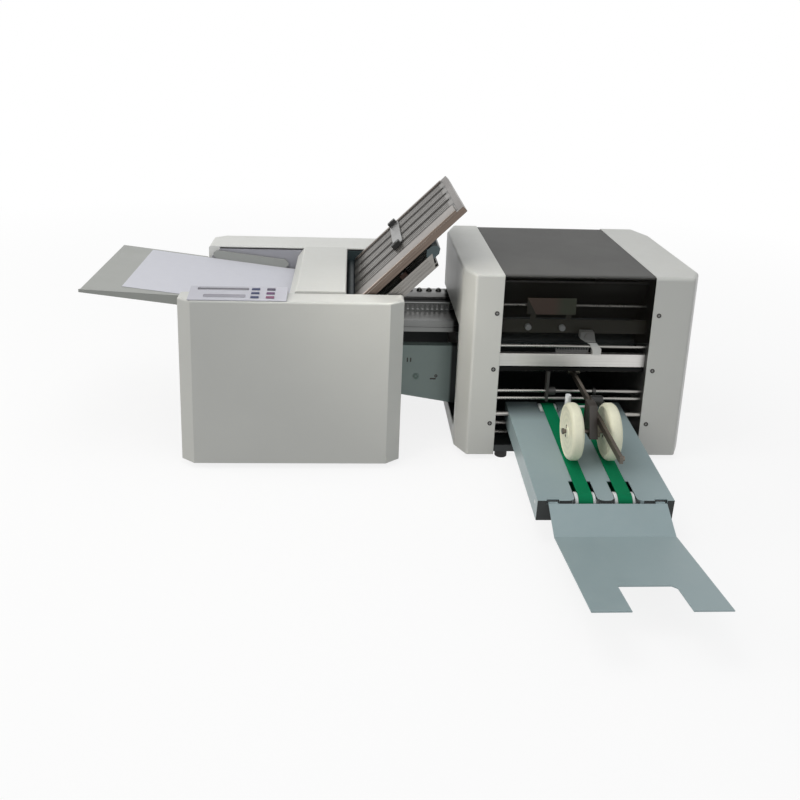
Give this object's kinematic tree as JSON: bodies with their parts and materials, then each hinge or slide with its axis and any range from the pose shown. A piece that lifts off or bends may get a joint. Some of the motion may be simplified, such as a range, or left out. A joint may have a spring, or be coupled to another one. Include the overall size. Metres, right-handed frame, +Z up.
{
  "type": "paper folding machine",
  "caption": "Two-unit buckle paper folder: sloped feed deck, keypad, slanted fold plates, bridge, smoked hood over a cross-fold unit, and a belt delivery with weight wheels and stacker tray.",
  "frame": {"origin": "centre of the overall box at table level", "axes": "+X the way the sheet travels through the folding unit to the cross-fold unit, +Y from the operator to the back, +Z up"},
  "size_m": [1.35, 1.112, 0.5831],
  "materials": {
    "cover_paint": "satin powder coat",
    "tray_paint": "satin powder coat",
    "frame_steel": "satin",
    "dark_paint": "satin black",
    "bridge_paint": "satin grey green",
    "delivery_paint": "satin blue grey",
    "aluminium_bar": "drawn",
    "aluminium_plate": "brushed",
    "steel_rod": "ground",
    "roller_rubber": "ground matte",
    "feed_rubber": "matte",
    "foot_rubber": "matte",
    "black_plastic": "matte",
    "panel_plastic": "fine texture",
    "button_blue": "semi gloss",
    "button_purple": "semi gloss",
    "button_red": "semi gloss",
    "belt_black": "toothed",
    "belt_green": "woven face",
    "white_plastic": "smooth",
    "wheel_cream": "smooth",
    "hood_smoke": "smoked sheet",
    "sheet_white": "paper",
    "motor_case": "semi gloss"
  },
  "bodies": {
    "machine": {"front_cover": "cover_paint", "rear_cover": "cover_paint", "unit2_cover_left": "cover_paint", "unit2_cover_right": "cover_paint", "power_inlet": "black_plastic", "main_frames": "frame_steel", "unit2_frames": "dark_paint", "base_pans": "dark_paint", "tie_bars": "steel_rod", "rubber_feet": "foot_rubber", "feed_tray": "tray_paint", "paper_stack": "sheet_white", "infeed_guide": "aluminium_plate", "separator_pad": "foot_rubber", "drive_motor": "motor_case", "drive_belt": "belt_black", "control_panel": "panel_plastic", "upper_plate_frame": "aluminium_bar", "upper_plate_grids": "aluminium_plate", "second_plate_frame": "aluminium_plate", "second_plate_grids": "aluminium_plate", "second_plate_end": "black_plastic", "inner_fold_plates": "aluminium_plate", "carrier_rail": "aluminium_bar", "carrier_deck": "aluminium_plate", "ball_rail": "dark_paint", "carrier_plate": "bridge_paint", "front_rail": "aluminium_bar", "guide_knobs": "white_plastic", "cross_fold_plate": "dark_paint", "conveyor_tray": "delivery_paint", "delivery_belts": "belt_green"},
    "feed_wheel": {"feed_roller": "feed_rubber"},
    "motor_shaft": {"motor_pulley": "steel_rod"},
    "head_lid": {"head_cover": "cover_paint"},
    "guide_slider": {"side_guide": "tray_paint"},
    "upper_stop": {"upper_fold_stop": "aluminium_bar", "upper_stop_clamps": "black_plastic"},
    "second_stop": {"second_fold_stop": "black_plastic"},
    "hood_lid": {"hood": "hood_smoke"},
    "front_axle": {"front_pulleys": "white_plastic"},
    "drive_axle": {"drive_pulleys": "white_plastic"},
    "arm": {"wheel_arm": "steel_rod"},
    "wheels": {"weight_wheels": "wheel_cream"},
    "stacker": {"stacker_tray": "delivery_paint"},
    "roller_1": {"fold_roller_1": "roller_rubber"},
    "roller_2": {"fold_roller_2": "roller_rubber"},
    "roller_3": {"fold_roller_3": "roller_rubber"},
    "roller_4": {"fold_roller_4": "roller_rubber"},
    "roller_5": {"fold_roller_5": "roller_rubber"},
    "roller_6": {"fold_roller_6": "roller_rubber"},
    "crossing_1": {"cross_roller_1": "roller_rubber"},
    "crossing_2": {"cross_roller_2": "roller_rubber"},
    "crossing_3": {"cross_roller_3": "roller_rubber"},
    "key_a1": {"button_a1": "button_blue"},
    "key_a2": {"button_a2": "button_blue"},
    "key_a3": {"button_a3": "button_blue"},
    "key_b1": {"button_b1": "button_red"},
    "key_b2": {"button_b2": "button_purple"},
    "key_b3": {"button_b3": "button_purple"}
  },
  "joints": [
    {"name": "roller_1_spin", "type": "hinge", "parent": "machine", "child": "roller_1", "pos_m": [-0.0989, 0.261, 0.3474], "axis": [0, 1, 0], "continuous": true},
    {"name": "roller_2_spin", "type": "hinge", "parent": "machine", "child": "roller_2", "pos_m": [-0.0989, 0.261, 0.3261], "axis": [0, 1, 0], "continuous": true},
    {"name": "roller_3_spin", "type": "hinge", "parent": "machine", "child": "roller_3", "pos_m": [-0.08384, 0.261, 0.31104], "axis": [0, 1, 0], "continuous": true},
    {"name": "roller_4_spin", "type": "hinge", "parent": "machine", "child": "roller_4", "pos_m": [-0.06878, 0.261, 0.29598], "axis": [0, 1, 0], "continuous": true},
    {"name": "roller_5_spin", "type": "hinge", "parent": "machine", "child": "roller_5", "pos_m": [-0.05372, 0.261, 0.28092], "axis": [0, 1, 0], "continuous": true},
    {"name": "roller_6_spin", "type": "hinge", "parent": "machine", "child": "roller_6", "pos_m": [-0.03866, 0.261, 0.26586], "axis": [0, 1, 0], "continuous": true},
    {"name": "feed_spin", "type": "hinge", "parent": "machine", "child": "feed_wheel", "pos_m": [-0.19, 0.261, 0.34746], "axis": [0, 1, 0], "continuous": true},
    {"name": "motor_spin", "type": "hinge", "parent": "machine", "child": "motor_shaft", "pos_m": [-0.345, 0.45, 0.095], "axis": [0, 1, 0], "continuous": true},
    {"name": "crossing_1_spin", "type": "hinge", "parent": "machine", "child": "crossing_1", "pos_m": [0.3975, 0.19, 0.285], "axis": [1, 0, 0], "continuous": true},
    {"name": "crossing_2_spin", "type": "hinge", "parent": "machine", "child": "crossing_2", "pos_m": [0.3975, 0.19, 0.2547], "axis": [1, 0, 0], "continuous": true},
    {"name": "crossing_3_spin", "type": "hinge", "parent": "machine", "child": "crossing_3", "pos_m": [0.3975, 0.1597, 0.2547], "axis": [1, 0, 0], "continuous": true},
    {"name": "front_axle_spin", "type": "hinge", "parent": "machine", "child": "front_axle", "pos_m": [0.393, -0.23071, 0.07578], "axis": [1, 0, 0], "continuous": true},
    {"name": "drive_axle_spin", "type": "hinge", "parent": "machine", "child": "drive_axle", "pos_m": [0.393, 0.0982, 0.10253], "axis": [1, 0, 0], "continuous": true},
    {"name": "wheels_spin", "type": "hinge", "parent": "arm", "child": "wheels", "pos_m": [0.3935, -0.11239, 0.16296], "axis": [1, 0, 0], "continuous": true},
    {"name": "head_hinge", "type": "hinge", "parent": "machine", "child": "head_lid", "pos_m": [-0.117, 0.261, 0.376], "axis": [0, 1, 0], "range_deg": [0, 80]},
    {"name": "hood_hinge", "type": "hinge", "parent": "machine", "child": "hood_lid", "pos_m": [0.3975, 0.492, 0.43], "axis": [-1, 0, 0], "range_deg": [0, 75]},
    {"name": "guide_slide", "type": "slide", "parent": "machine", "child": "guide_slider", "axis": [0, 1, 0], "range_m": [-0.045, 0]},
    {"name": "upper_stop_slide", "type": "slide", "parent": "machine", "child": "upper_stop", "axis": [0.7071, 0, 0.7071], "range_m": [-0.118, 0.15]},
    {"name": "second_stop_slide", "type": "slide", "parent": "machine", "child": "second_stop", "axis": [0.7071, 0, 0.7071], "range_m": [-0.115, 0.055]},
    {"name": "arm_lift", "type": "hinge", "parent": "machine", "child": "arm", "pos_m": [0.408, 0.115, 0.2], "axis": [-1, 0, 0], "range_deg": [0, 8]},
    {"name": "stacker_lift", "type": "hinge", "parent": "machine", "child": "stacker", "pos_m": [0.393, -0.2494, 0.08515], "axis": [-1, 0, 0], "range_deg": [0, 25]},
    {"name": "press_a1", "type": "slide", "parent": "machine", "child": "key_a1", "axis": [0, 0.225, -0.9744], "range_m": [0, 0.0015], "stiffness_N_per_m": 300, "springref_m": -0.0005},
    {"name": "press_a2", "type": "slide", "parent": "machine", "child": "key_a2", "axis": [0, 0.225, -0.9744], "range_m": [0, 0.0015], "stiffness_N_per_m": 300, "springref_m": -0.0005},
    {"name": "press_a3", "type": "slide", "parent": "machine", "child": "key_a3", "axis": [0, 0.225, -0.9744], "range_m": [0, 0.0015], "stiffness_N_per_m": 300, "springref_m": -0.0005},
    {"name": "press_b1", "type": "slide", "parent": "machine", "child": "key_b1", "axis": [0, 0.225, -0.9744], "range_m": [0, 0.0015], "stiffness_N_per_m": 300, "springref_m": -0.0005},
    {"name": "press_b2", "type": "slide", "parent": "machine", "child": "key_b2", "axis": [0, 0.225, -0.9744], "range_m": [0, 0.0015], "stiffness_N_per_m": 300, "springref_m": -0.0005},
    {"name": "press_b3", "type": "slide", "parent": "machine", "child": "key_b3", "axis": [0, 0.225, -0.9744], "range_m": [0, 0.0015], "stiffness_N_per_m": 300, "springref_m": -0.0005}
  ],
  "couplings": [
    {"joint": "roller_1_spin", "follows": "roller_2_spin", "ratio": -1},
    {"joint": "roller_3_spin", "follows": "roller_2_spin", "ratio": -1},
    {"joint": "roller_4_spin", "follows": "roller_2_spin", "ratio": 1},
    {"joint": "roller_5_spin", "follows": "roller_2_spin", "ratio": -1},
    {"joint": "roller_6_spin", "follows": "roller_2_spin", "ratio": 1},
    {"joint": "feed_spin", "follows": "roller_2_spin", "ratio": -0.47727},
    {"joint": "motor_spin", "follows": "roller_2_spin", "ratio": 1},
    {"joint": "crossing_1_spin", "follows": "crossing_2_spin", "ratio": -1},
    {"joint": "crossing_3_spin", "follows": "crossing_2_spin", "ratio": -1},
    {"joint": "front_axle_spin", "follows": "drive_axle_spin", "ratio": 1}
  ]
}
